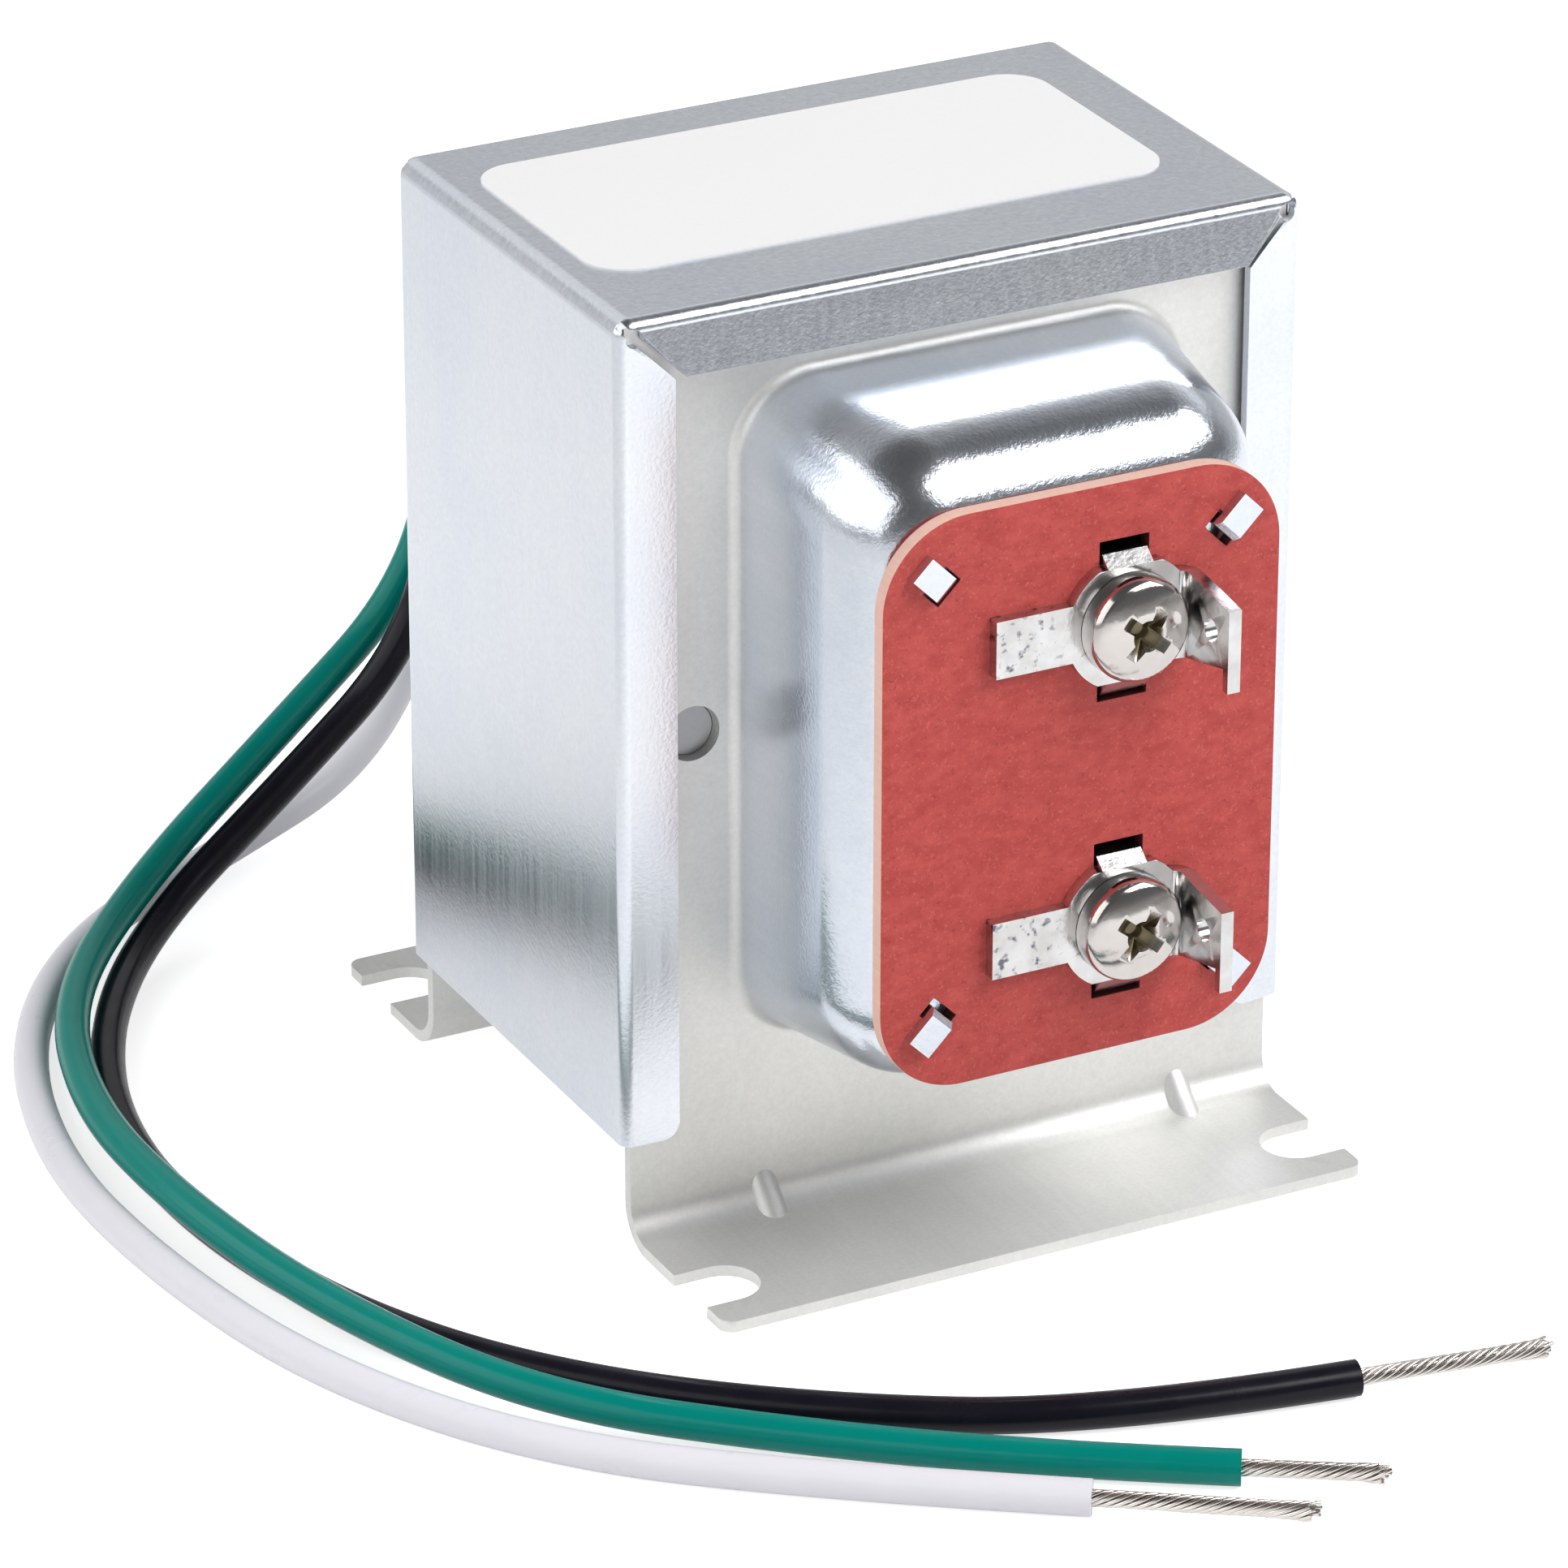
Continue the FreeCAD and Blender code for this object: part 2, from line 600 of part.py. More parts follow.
def terminal_screw(side):
    """Cross-recess pan head screw."""
    z = terminal_z(side)
    seat = terminal_face + screw_running_gap
    top = seat + screw_head_height
    rim = seat + screw_head_edge
    rise = top - rim
    crown_radius = (screw_head_radius**2 + rise**2) / (2 * rise)
    half_angle = math.asin(screw_head_radius / crown_radius) / 2
    crown = V(crown_radius * math.sin(half_angle), top - crown_radius * (1 - math.cos(half_angle)), 0)
    edges = [
        Part.LineSegment(V(0, seat, 0), V(screw_head_radius, seat, 0)),
        Part.LineSegment(V(screw_head_radius, seat, 0), V(screw_head_radius, rim, 0)),
        Part.Arc(V(screw_head_radius, rim, 0), crown, V(0, top, 0)),
        Part.LineSegment(V(0, top, 0), V(0, seat, 0)),
    ]
    section = Part.Face(Part.Wire([e.toShape() for e in edges]))
    head = section.revolve(V(0, 0, 0), Y_AXIS, 360)
    at_rim = lambda e: abs(e.BoundBox.YMin - rim) < 1e-6 and abs(e.BoundBox.YMax - rim) < 1e-6
    head = head.makeFillet(screw_head_round, [e for e in head.Edges if at_rim(e)])
    shank = rod(screw_radius, V(0, seat - screw_length, 0), Y_AXIS, screw_length)
    screw = head.fuse(shank)
    floor = top - cross_depth
    half = cross_width / 2
    for turn in (0, 90):
        steps = [(-cross_reach, top), (-half, floor), (half, floor), (cross_reach, top)]
        wing = extruded([V(x, y, -half) for x, y in steps], V(0, 0, cross_width))
        wing.rotate(V(0, 0, 0), Y_AXIS, turn + cross_turn)
        screw = screw.cut(wing)
    screw = screw.cut(Part.makeCone(half, point_radius, point_depth, V(0, top - point_depth, 0), Y_AXIS))
    screw.translate(V(terminal_x, 0, z))
    return screw.removeSplitter().mirror(V(0, 0, 0), Y_AXIS)


def secondary_tail(side):
    """Wire end from the secondary coil to the clinched ear nearest the board's middle."""
    z = terminal_z(side) - side * (ear_reach - ear_clinch / 2)
    return rod(tail_radius, V(terminal_x, -coil_y, z), -Y_AXIS, dome_face - terminal_sheet - coil_y)


def lead_bushing():
    """Snap bushing: flange outside, neck in the bell's hole and a barbed rim inside."""
    inside = dome_face - bell_sheet - bushing_gap
    outside = dome_face + bushing_gap
    tail = inside - bushing_inner_length
    end = outside + bushing_flange_height
    outline = [
        (bushing_bore_radius, tail), (bushing_neck_radius - bushing_gap, tail),
        (bushing_rim_radius, inside - bushing_barb), (bushing_rim_radius, inside),
        (bushing_neck_radius, inside), (bushing_neck_radius, outside),
        (bushing_flange_radius, outside), (bushing_flange_radius, end - bushing_round),
        (bushing_flange_radius - bushing_round, end), (bushing_bore_radius, end),
    ]
    points = [V(r, y, 0) for r, y in outline]
    section = Part.Face(Part.makePolygon(points + points[:1]))
    ring = section.revolve(V(0, 0, 0), Y_AXIS, 360)
    ring.translate(V(bushing_x, 0, core_mid))
    return ring


def label():
    """Paper label on the hood's top, stuck a little off centre."""
    x0 = label_x - label_width / 2
    y0 = label_y - label_depth / 2
    x1 = x0 + label_width
    y1 = y0 + label_depth
    return rounded_block(x0, x1, y0, y1, hood_top, hood_top + label_sheet, Z_AXIS, label_corner)


def lead_points(name):
    """Whole route of a lead: from the primary coil through the bushing, then as laid out."""
    angle, exit_end, route, bare = leads[name]
    turn = math.radians(angle)
    x = bushing_x + lead_spread * math.cos(turn)
    z = core_mid + lead_spread * math.sin(turn)
    return [V(x, coil_y, z), V(x, exit_end, z)] + route


def lead_path(points):
    """Straight runs joined by the largest tangent arcs they allow; returns the wire and the radii."""
    edges = []
    radii = []
    last = points[0]
    for before, corner, after in zip(points, points[1:], points[2:]):
        inward = (before - corner).normalize()
        onward = (after - corner).normalize()
        shorter = min((before - corner).Length, (after - corner).Length)
        trim = arc_share * shorter
        half_turn = (math.pi - inward.getAngle(onward)) / 2
        radius = trim / math.tan(half_turn)
        start = corner + inward * trim
        end = corner + onward * trim
        towards = (inward + onward).normalize()
        middle = corner + towards * (radius / math.cos(half_turn) - radius)
        edges.append(Part.LineSegment(last, start).toShape())
        edges.append(Part.Arc(start, middle, end).toShape())
        radii.append(radius)
        last = end
    edges.append(Part.LineSegment(last, points[-1]).toShape())
    return Part.Wire(edges), radii


def lead(name):
    """Insulated lead as a plain tube along its route."""
    points = lead_points(name)
    path, radii = lead_path(points)
    section = Part.Wire([Part.makeCircle(lead_radius, points[0], points[1] - points[0])])
    tube = path.makePipeShell([section], True, False)
    expected = math.pi * lead_radius**2 * path.Length
    print(name, "lead:", round(path.Length, 1), "mm, volume ratio", round(tube.Volume / expected, 4))
    print("  radii", [round(r, 1) for r in radii])
    return tube


def lead_strands(name):
    """Bare conductor that carries on from the lead's end."""
    points = lead_points(name)
    bare = leads[name][3]
    return rod(strand_radius, points[-1], points[-1] - points[-2], bare)


def build():
    """Every sub-part by its node's name."""
    nodes = {
        "core_e_stack": core_e_stack(),
        "core_i_stack": core_i_stack(),
        "core_pins": core_pins(),
        "bobbin": bobbin(),
        "primary_winding": winding(-1),
        "secondary_winding": winding(1),
        "primary_wrap": winding_wrap(-1),
        "secondary_wrap": winding_wrap(1),
        "hood": hood(),
        "front_bell": front_bell(),
        "rear_bell": rear_bell(),
        "terminal_board": terminal_board(),
        "lead_bushing": lead_bushing(),
        "label": label(),
    }
    for word, side in (("upper", 1), ("lower", -1)):
        nodes[word + "_terminal"] = terminal(side)
        nodes[word + "_terminal_screw"] = terminal_screw(side)
        nodes[word + "_secondary_tail"] = secondary_tail(side)
    for name in leads:
        nodes[name + "_lead"] = lead(name)
        nodes[name + "_lead_strands"] = lead_strands(name)
    return nodes


os.makedirs("parts", exist_ok=True)
for name, shape in build().items():
    shape.exportStep("parts/" + name + ".step")
    print(name, "solids", len(shape.Solids), "valid", shape.isValid(), "volume", round(shape.Volume, 1))
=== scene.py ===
import math
import random

import bmesh
import bpy
from mathutils import Matrix, Vector


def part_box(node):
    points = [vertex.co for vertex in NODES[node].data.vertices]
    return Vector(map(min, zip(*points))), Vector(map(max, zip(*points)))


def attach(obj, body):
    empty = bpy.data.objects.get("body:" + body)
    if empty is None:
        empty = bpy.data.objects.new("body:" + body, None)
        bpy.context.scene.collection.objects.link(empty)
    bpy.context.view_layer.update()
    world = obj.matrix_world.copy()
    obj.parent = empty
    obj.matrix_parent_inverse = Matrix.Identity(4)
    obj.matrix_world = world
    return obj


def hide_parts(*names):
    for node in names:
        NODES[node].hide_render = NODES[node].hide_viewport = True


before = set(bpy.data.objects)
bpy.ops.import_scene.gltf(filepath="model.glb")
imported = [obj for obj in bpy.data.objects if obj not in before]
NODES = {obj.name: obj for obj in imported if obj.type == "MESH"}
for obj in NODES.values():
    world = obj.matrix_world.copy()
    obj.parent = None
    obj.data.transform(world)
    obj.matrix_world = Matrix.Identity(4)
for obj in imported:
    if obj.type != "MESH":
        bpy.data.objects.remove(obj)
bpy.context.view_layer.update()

MM = 0.001
scene = bpy.context.scene
scene.view_settings.view_transform = "Standard"


# Camera, fitted to the hood's and the foot's corners in the photo
CAMERA_LENS = 190.29
CAMERA_SENSOR = 36.0
CAMERA_CLIP = 0.01
CAMERA_PLACE = Vector((-232.553, -441.635, 259.024)) * MM
CAMERA_RIGHT = Vector((0.888732, -0.458427, 0.000827))
CAMERA_DOWN = Vector((-0.196310, -0.382207, -0.902984))
CAMERA_AHEAD = Vector((0.414268, 0.802348, -0.429674))


def make_camera():
    data = bpy.data.cameras.new("photo_camera")
    data.lens = CAMERA_LENS
    data.sensor_width = CAMERA_SENSOR
    data.clip_start = CAMERA_CLIP
    camera = bpy.data.objects.new("photo_camera", data)
    scene.collection.objects.link(camera)
    turn = Matrix((CAMERA_RIGHT, -CAMERA_DOWN, -CAMERA_AHEAD)).transposed()
    camera.matrix_world = Matrix.Translation(CAMERA_PLACE) @ turn.to_4x4()
    scene.camera = camera


make_camera()


# Material helpers
NOISE_LOW, NOISE_HIGH = 0.3, 0.7  # most of a noise lies between these
CLOUD_LOW, CLOUD_HIGH = 0.35, 0.65  # the same for tints, with a little more contrast


class Nodes:
    """A shader node tree with short ways to add and join nodes."""

    def __init__(self, owner):
        owner.use_nodes = True
        self.owner = owner
        self.nodes = owner.node_tree.nodes
        self.links = owner.node_tree.links

    def add(self, kind, **settings):
        node = self.nodes.new(kind)
        for key, value in settings.items():
            setattr(node, key, value)
        return node

    def feed(self, socket, value):
        """Joins an output to a socket, or sets the socket to a plain value."""
        if isinstance(value, bpy.types.NodeSocket):
            self.links.new(value, socket)
        elif isinstance(value, tuple) and len(value) == 3 and socket.type == "RGBA":
            socket.default_value = (*value, 1.0)
        else:
            socket.default_value = value

    def spread(self, value, low, high, new_low=0.0, new_high=1.0):
        """Maps a range of a value to another one, clamped."""
        node = self.add("ShaderNodeMapRange")
        keys = ("Value", "From Min", "From Max", "To Min", "To Max")
        for key, number in zip(keys, (value, low, high, new_low, new_high)):
            self.feed(node.inputs[key], number)
        return node.outputs["Result"]

    def math(self, operation, first, second=0.0):
        node = self.add("ShaderNodeMath", operation=operation)
        self.feed(node.inputs[0], first)
        self.feed(node.inputs[1], second)
        return node.outputs[0]

    def mix(self, share, first, second, blend="MIX"):
        """Mixes two colours by a share."""
        node = self.add("ShaderNodeMix", data_type="RGBA", blend_type=blend)
        self.feed(node.inputs["Factor"], share)
        self.feed(node.inputs[6], first)
        self.feed(node.inputs[7], second)
        return node.outputs[2]

    def axes(self, coordinate):
        """X, Y and Z of one of the texture coordinates."""
        node = self.add("ShaderNodeSeparateXYZ")
        self.feed(node.inputs[0], self.add("ShaderNodeTexCoord").outputs[coordinate])
        return node.outputs

    def ramp(self, value, stops):
        """Grey level over a value from 0 to 1."""
        node = self.add("ShaderNodeValToRGB")
        self.feed(node.inputs[0], value)
        elements = node.color_ramp.elements
        while len(elements) < len(stops):
            elements.new(0.5)
        for element, (place, level) in zip(elements, stops):
            element.position = place
            element.color = (level, level, level, 1.0)
        return node.outputs["Color"]


class Finish(Nodes):
    """A new material on one Principled shader, textured over the piece's own place."""

    def __init__(self, name):
        super().__init__(bpy.data.materials.new(name))
        self.shader = self.nodes["Principled BSDF"]
        self.place = self.add("ShaderNodeTexCoord").outputs["Object"]

    def set(self, **values):
        for key, value in values.items():
            self.feed(self.shader.inputs[key.replace("_", " ")], value)

    def noise(self, size, detail=2.0, rough=0.5, stretch=(1, 1, 1)):
        """Noise with features of about that size in millimetres, times the stretch along an axis."""
        mapping = self.add("ShaderNodeMapping")
        self.feed(mapping.inputs["Vector"], self.place)
        mapping.inputs["Scale"].default_value = [1 / (size * MM * s) for s in stretch]
        node = self.add("ShaderNodeTexNoise")
        self.feed(node.inputs["Vector"], mapping.outputs["Vector"])
        node.inputs["Scale"].default_value = 1.0
        node.inputs["Detail"].default_value = detail
        node.inputs["Roughness"].default_value = rough
        return node.outputs["Fac"]

    def vary(self, noise, low=0.0, high=1.0):
        """Turns a noise into values from low to high."""
        return self.spread(noise, NOISE_LOW, NOISE_HIGH, low, high)

    def cloud(self, noise, first, second):
        """Turns a noise into patches of two colours."""
        return self.mix(self.spread(noise, CLOUD_LOW, CLOUD_HIGH), first, second)

    def bump(self, height, depth, share=1.0):
        """Relief of that depth in millimetres; share scales it over the surface."""
        node = self.add("ShaderNodeBump")
        self.feed(node.inputs["Strength"], share)
        node.inputs["Distance"].default_value = depth * MM
        self.feed(node.inputs["Height"], height)
        self.feed(self.shader.inputs["Normal"], node.outputs["Normal"])


def give(finish, *pieces):
    """Puts a material on CAD nodes or own pieces."""
    for piece in pieces:
        target = NODES[piece] if isinstance(piece, str) else piece
        target.data.materials.clear()
        target.data.materials.append(finish.owner)


# Materials; places on a piece are in metres, in the frame's own axes
DOME_ROOT = (15.6 * MM, 16.6 * MM)  # from the flange's face to the dome's wall, out from the middle
DOME_WALL = (17.5 * MM, 23.0 * MM)  # from the wall's start to the shoulder
DOME_BASE = (11.6 * MM, 12.6 * MM)  # height at which the dome starts
FOOT_BEND = (2.0 * MM, 5.0 * MM)  # height over which the foot turns into the flange
DOME_SATIN = 0.55  # scattered share at the wall's start
BOARD_RIM = (-2.6 * MM, -2.4 * MM)  # nearer to the outline than this, a cut face is the pale rim's, not a slot's with painted shade
SOLDER_TAB = (-1.0 * MM, -3.0 * MM)  # x from the clean ring to the soldered tab, where dark specks of painted reflection go
CROWN_RADIUS = 7.26  # of the screw head's top, in millimetres
RECESS_REACH = (2.2 * MM, 2.35 * MM)  # from the screw's axis
RECESS_DEPTH = (0.08 * MM, 0.5 * MM)  # below the crown, from no painted shade to full painted shade
LAMINATION = 0.5 * MM
LAMINATION_JOINT = 0.06 * MM


def clouded_metal(name, first, second, rough, size):
    """Bare metal with patches of two tones that also differ in gloss."""
    finish = Finish(name)
    patch = finish.noise(size, 4, 0.6)
    finish.set(Base_Color=finish.mix(patch, first, second), Metallic=1.0)
    finish.set(Roughness=finish.vary(patch, rough * 0.8, rough * 1.25))
    return finish


def clouded_plastic(name, first, second, rough, size):
    """Plastic or tape with patches of two tones that also differ in gloss."""
    finish = Finish(name)
    patch = finish.noise(size, 3, 0.6)
    finish.set(Base_Color=finish.mix(patch, first, second))
    finish.set(Roughness=finish.vary(patch, rough * 0.85, rough * 1.15))
    return finish


def hood_zinc():
    """Bright zinc on the hood: faint clouds, drawing streaks up the walls and a fine grain."""
    finish = Finish("hood_zinc")
    streak = finish.noise(0.5, 3, 0.6, (1, 1, 60))
    grain = finish.noise(0.28, 2, 0.6)
    tint = finish.cloud(finish.noise(14, 4, 0.6), (0.75, 0.79, 0.865), (0.80, 0.83, 0.875))
    shade = finish.math("MULTIPLY", finish.vary(streak, 0.955), finish.vary(grain, 0.93))
    finish.set(Base_Color=finish.mix(1.0, tint, shade, "MULTIPLY"), Metallic=1.0)
    finish.set(Roughness=finish.vary(streak, 0.2, 0.27))
    finish.bump(grain, 0.011)
    return finish


def bell_zinc():
    """Plated bells: the dome is satin at its root and glossy at its shoulder, flange and foot are dull."""
    finish = Finish("bell_zinc")
    place = finish.axes("Object")
    height = place["Z"]
    out = finish.math("ABSOLUTE", place["Y"])
    dome = finish.math("MULTIPLY", finish.spread(out, *DOME_ROOT), finish.spread(height, *DOME_BASE))
    patch = finish.noise(9, 4, 0.6)
    streak = finish.noise(0.6, 3, 0.6, (1, 40, 1))
    grain = finish.noise(0.28, 2, 0.6)
    bright = finish.cloud(patch, (0.69, 0.74, 0.82), (0.75, 0.785, 0.845))
    dull = finish.cloud(patch, (0.79, 0.79, 0.77), (0.84, 0.835, 0.815))
    shade = finish.math("MULTIPLY", finish.vary(streak, 0.96), finish.vary(grain, 0.94))
    finish.set(Base_Color=finish.mix(1.0, finish.mix(dome, dull, bright), shade, "MULTIPLY"))
    scatter = finish.spread(height, *FOOT_BEND, 0.38, 0.1)
    satin = finish.spread(out, *DOME_WALL, DOME_SATIN, 0.0)
    scattered = finish.spread(dome, 0.0, 1.0, scatter, satin)
    finish.set(Metallic=finish.math("SUBTRACT", 1.0, scattered))
    dome_rough = finish.spread(satin, 0.0, DOME_SATIN, 0.19, 0.4)
    finish.set(Roughness=finish.spread(dome, 0.0, 1.0, 0.5, dome_rough))
    finish.bump(grain, 0.016, finish.spread(dome, 0.0, 1.0, 0.3, 1.0))
    return finish


def fibre_board():
    """Vulcanised fibre: red and mottled on its faces, pale and stringy round its rim, and darkened with
    painted shade on the cut faces in its slots.
    """
    finish = Finish("fibre_board")
    face = finish.math("ABSOLUTE", finish.axes("Normal")["Y"])
    cut = finish.spread(face, 0.8, 0.95, 1.0, 0.0)
    low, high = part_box("terminal_board")
    middle, half = (low + high) / 2, (high - low) / 2
    place = finish.axes("Object")
    past_edges = []
    for axis, centre, reach in (("X", middle.x, half.x), ("Z", middle.z, half.z)):
        off_centre = finish.math("ABSOLUTE", finish.math("SUBTRACT", place[axis], centre))
        past_edges.append(finish.math("SUBTRACT", off_centre, reach))
    rim = finish.spread(finish.math("MAXIMUM", *past_edges), *BOARD_RIM)
    mottle = finish.noise(0.9, 5, 0.65, (1.6, 1, 1))
    fleck = finish.noise(0.22, 2, 0.6)
    pit = finish.noise(0.32, 1, 0.5)
    red = finish.mix(finish.vary(mottle), (0.47, 0.055, 0.05), (0.63, 0.10, 0.088))
    red = finish.mix(finish.spread(fleck, 0.58, 0.75, 0.0, 0.6), red, (0.74, 0.19, 0.16))
    red = finish.mix(finish.spread(pit, 0.66, 0.76, 0.0, 0.45), red, (0.26, 0.03, 0.03))
    strings = finish.noise(0.25, 3, 0.6, (1, 5, 1))
    pale = finish.mix(strings, (0.80, 0.44, 0.36), (0.86, 0.62, 0.52))
    # Painted shade: the cut faces inside the slots get a near-black colour, those at the rim stay pale
    # fibre.
    cut_faces_and_slot_shade = finish.mix(rim, (0.07, 0.012, 0.012), pale)
    finish.set(Base_Color=finish.mix(cut, red, cut_faces_and_slot_shade))
    finish.set(Roughness=finish.vary(mottle, 0.5, 0.65))
    finish.set(Specular_IOR_Level=0.35)
    finish.bump(finish.math("ADD", fleck, mottle), 0.02)
    return finish


def tinned_brass():
    """Tinned terminals: bright, uneven where the solder flowed, and with dark specks of painted reflection
    there.
    """
    finish = Finish("tinned_brass")
    solder = finish.spread(finish.axes("Object")["X"], *SOLDER_TAB)
    patch = finish.noise(1.8, 4, 0.6)
    flow = finish.noise(1.5, 2, 0.5)
    speck = finish.noise(0.8, 4, 0.6)
    grain = finish.noise(0.3, 2, 0.6)
    tint = finish.cloud(patch, (0.68, 0.68, 0.69), (0.57, 0.56, 0.55))
    # Painted reflection: dark specks on the soldered tab stand in for dark surroundings mirrored in the
    # tin.
    painted_reflection_specks = finish.math("MULTIPLY", solder, finish.spread(speck, 0.56, 0.66))
    finish.set(Base_Color=finish.mix(painted_reflection_specks, tint, (0.15, 0.15, 0.19)), Metallic=1.0)
    finish.set(Roughness=finish.vary(patch, 0.14, 0.24))
    uneven = finish.math("MULTIPLY", flow, finish.spread(solder, 0.0, 1.0, 0.07, 0.8))
    finish.bump(finish.math("ADD", uneven, finish.math("MULTIPLY", grain, 0.03)), 0.25)
    return finish


def screw_nickel(word):
    """Nickel plated screw, bright on its crown, with painted shade in the cross recess that deepens below
    the crown, tinted brown.
    """
    finish = Finish(word + "_screw_nickel")
    low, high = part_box(word + "_terminal_screw")
    top = low.y
    axis = (low + high) / 2
    x, y, z = finish.axes("Object")
    across = finish.math("POWER", finish.math("SUBTRACT", x, axis.x), 2.0)
    upright = finish.math("POWER", finish.math("SUBTRACT", z, axis.z), 2.0)
    off_axis = finish.math("ADD", across, upright)
    crown = finish.math("MULTIPLY", off_axis, 1 / (2 * CROWN_RADIUS * MM))
    depth = finish.math("SUBTRACT", finish.math("SUBTRACT", y, top), crown)
    inside = finish.spread(off_axis, RECESS_REACH[0] ** 2, RECESS_REACH[1] ** 2, 1.0, 0.0)
    recess = finish.math("MULTIPLY", inside, finish.spread(depth, *RECESS_DEPTH))
    patch = finish.noise(1.2, 4, 0.6)
    bright = finish.mix(patch, (0.66, 0.63, 0.61), (0.55, 0.52, 0.50))
    # Painted shade: dark brown in the recess, growing with depth below the crown.
    painted_recess_shade = finish.mix(patch, (0.10, 0.085, 0.05), (0.36, 0.31, 0.20))
    finish.set(Base_Color=finish.mix(recess, bright, painted_recess_shade), Metallic=1.0)
    finish.set(Roughness=finish.spread(recess, 0.0, 1.0, 0.13, 0.4))
    finish.bump(finish.noise(0.35, 2, 0.6), 0.004)
    return finish


def laminations():
    """Stacked sheets, with a dark line at each joint along the stack."""
    finish = Finish("laminations")
    sheet = finish.math("PINGPONG", finish.axes("Object")["Y"], LAMINATION / 2)
    joint = finish.spread(sheet, 0.0, LAMINATION_JOINT, 1.0, 0.0)
    patch = finish.noise(1.5, 4, 0.6)
    steel = finish.mix(patch, (0.30, 0.30, 0.32), (0.44, 0.44, 0.46))
    finish.set(Base_Color=finish.mix(joint, steel, (0.05, 0.05, 0.055)), Metallic=1.0)
    finish.set(Roughness=finish.vary(patch, 0.32, 0.5))
    finish.bump(joint, -0.03)
    return finish


def pvc(name, first, second, rough):
    """Extruded insulation: nearly even colour, a faint ripple along it and a clear gloss."""
    finish = Finish(name)
    ripple = finish.noise(3.0, 3, 0.5)
    finish.set(Base_Color=finish.mix(ripple, first, second))
    finish.set(Roughness=finish.vary(ripple, rough * 0.85, rough * 1.15))
    finish.set(Specular_IOR_Level=0.2)
    finish.bump(ripple, 0.04)
    return finish


def paper():
    """Coated label paper with a faint tooth."""
    finish = Finish("label_paper")
    tooth = finish.noise(0.3, 3, 0.6)
    finish.set(Base_Color=finish.mix(tooth, (0.89, 0.89, 0.90), (0.93, 0.93, 0.93)))
    finish.set(Roughness=finish.vary(tooth, 0.5, 0.65))
    finish.bump(tooth, 0.004)
    return finish


# Leads, in millimetres: the solids' routes, with some points moved to follow the photo
FLOOR = 1.25  # height of a lead's middle where it lies on the floor
ROUTES = {
    "green": [
        (-3.3, 24.02, 37.37), (-3.3, 36.5, 37.37), (-6.8, 47.8, 30.5), (-9.6, 48.4, 18.6),
        (-20.6, 46.2, 11.0), (-34.0, 40.8, 4.3), (-44.9, 28.8, 3.0), (-49.9, 13.2, 3.15),
        (-49.8, -2.0, 3.1), (-46.4, -18.3, 2.5), (-39.5, -34.8, 2.3), (-26.2, -44.8, FLOOR),
        (-13.7, -54.3, FLOOR), (-3.9, -60.4, FLOOR),
    ],
    "black": [
        (-4.69, 24.02, 34.97), (-4.69, 35.0, 34.97), (-8.6, 44.0, 27.5), (-11.4, 44.8, 15.6),
        (-22.0, 43.0, 8.0), (-34.6, 38.2, 1.9), (-43.4, 26.0, FLOOR), (-48.3, 11.5, FLOOR),
        (-48.3, -3.5, FLOOR), (-44.4, -18.6, FLOOR), (-36.65, -31.3, FLOOR), (-24.3, -42.2, FLOOR),
        (-8.6, -51.2, FLOOR), (8.2, -54.0, FLOOR),
    ],
    "white": [
        (-1.91, 24.02, 34.97), (-1.91, 36.5, 34.97), (-4.6, 47.0, 26.5), (-5.0, 54.0, 13.8),
        (-10.6, 54.6, 2.4), (-25.0, 47.8, FLOOR), (-39.2, 40.2, FLOOR), (-48.9, 27.0, FLOOR),
        (-53.6, 10.0, FLOOR), (-53.1, -6.5, FLOOR), (-49.6, -23.6, FLOOR), (-41.2, -38.6, FLOOR),
        (-27.8, -50.0, FLOOR), (-13.9, -59.4, FLOOR),
    ],
}
BARE = {"green": 9.8, "black": 13.8, "white": 14.6}
LEAD_RADIUS = 1.2
STRAND_RADIUS = 0.128
STRAND_LAYERS = ((0.0, 1), (0.2, 5), (0.44, 10))  # radius and number of strands
STRAND_STEPS = 56
STRAND_START = 0.5  # how far the strands reach into the insulation
STRAND_LOWEST = 0.16
UNEVEN_CUT = 0.9  # how much shorter a strand may be
TWIST_PITCH = 6.5
TWIST_WOBBLE = 0.25
FRAY_FROM = 0.75  # share of the length after which the strands loosen
FRAY = 0.35


def lead_curve(name):
    """Round insulation along a lead's route."""
    curve = bpy.data.curves.new(name + "_wire", "CURVE")
    curve.dimensions = "3D"
    curve.resolution_u = 12
    curve.bevel_depth = LEAD_RADIUS * MM
    curve.bevel_resolution = 6
    curve.use_fill_caps = True
    points = ROUTES[name]
    spline = curve.splines.new("NURBS")
    spline.points.add(len(points) - 1)
    for place, point in zip(spline.points, points):
        place.co = (*(c * MM for c in point), 1.0)
    spline.order_u = 3
    spline.use_endpoint_u = True
    wire = bpy.data.objects.new(name + "_wire", curve)
    scene.collection.objects.link(wire)
    return wire


